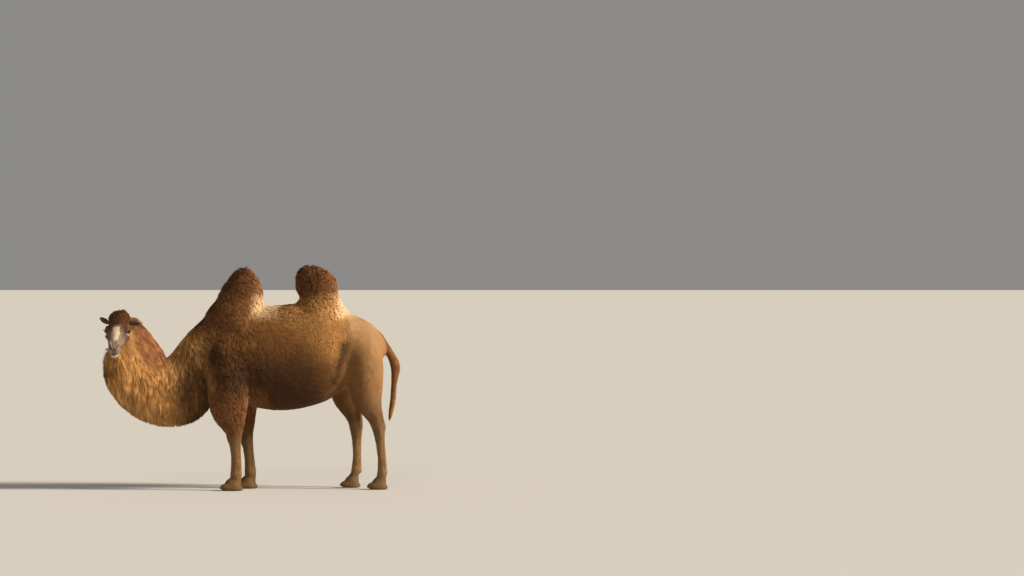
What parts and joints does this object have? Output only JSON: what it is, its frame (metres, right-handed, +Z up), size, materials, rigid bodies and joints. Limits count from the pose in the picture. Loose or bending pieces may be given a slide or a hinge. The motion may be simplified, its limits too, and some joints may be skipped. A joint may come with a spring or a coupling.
{
  "type": "bactrian camel",
  "caption": "Still, life-size figure of a woolly bactrian camel standing with its neck bent low and up and its head turned to its left, in full winter coat.",
  "frame": {"origin": "on the floor, under the middle of the whole animal's bounding box", "axes": "+Z up; the animal's body faces -X, with its left side towards -Y and its right side towards +Y; its head is turned towards -Y"},
  "size_m": [2.842, 0.9228, 2.1403],
  "materials": {
    "beard_hair": "long golden-tan hanging hair, soft sheen",
    "dark_curls": "dense dark reddish-brown curls, matt",
    "eye": "wet dark brown cornea, glossy",
    "face_coat": "very short grey-tan coat with a cream blaze",
    "lower_leg_coat": "short beige-tan coat, matt",
    "mane_hair": "coarse reddish-brown hair, matt",
    "smooth_coat": "short golden-tan coat lying flat, soft sheen",
    "toenail": "dull dark horn",
    "wool": "thick ginger-brown winter wool, matt"
  },
  "bodies": {
    "root": {"ear_left": "face_coat", "ear_right": "face_coat", "eye_left": "eye", "eye_right": "eye", "fore_left_foot": "lower_leg_coat", "fore_left_lower": "lower_leg_coat", "fore_left_nail_a": "toenail", "fore_left_nail_b": "toenail", "fore_left_upper": "dark_curls", "fore_right_foot": "lower_leg_coat", "fore_right_lower": "lower_leg_coat", "fore_right_nail_a": "toenail", "fore_right_nail_b": "toenail", "fore_right_upper": "dark_curls", "forelock": "dark_curls", "head": "face_coat", "hind_left_foot": "lower_leg_coat", "hind_left_lower": "lower_leg_coat", "hind_left_nail_a": "toenail", "hind_left_nail_b": "toenail", "hind_left_upper": "smooth_coat", "hind_right_foot": "lower_leg_coat", "hind_right_lower": "lower_leg_coat", "hind_right_nail_a": "toenail", "hind_right_nail_b": "toenail", "hind_right_upper": "smooth_coat", "hump_front": "wool", "hump_front_crown": "dark_curls", "hump_rear": "wool", "hump_rear_crown": "dark_curls", "mane": "mane_hair", "neck_base": "wool", "neck_bend": "wool", "neck_upper": "wool", "tail_dock": "mane_hair", "tail_tuft": "mane_hair", "throat_beard": "beard_hair", "trunk": "wool"}
  },
  "joints": []
}
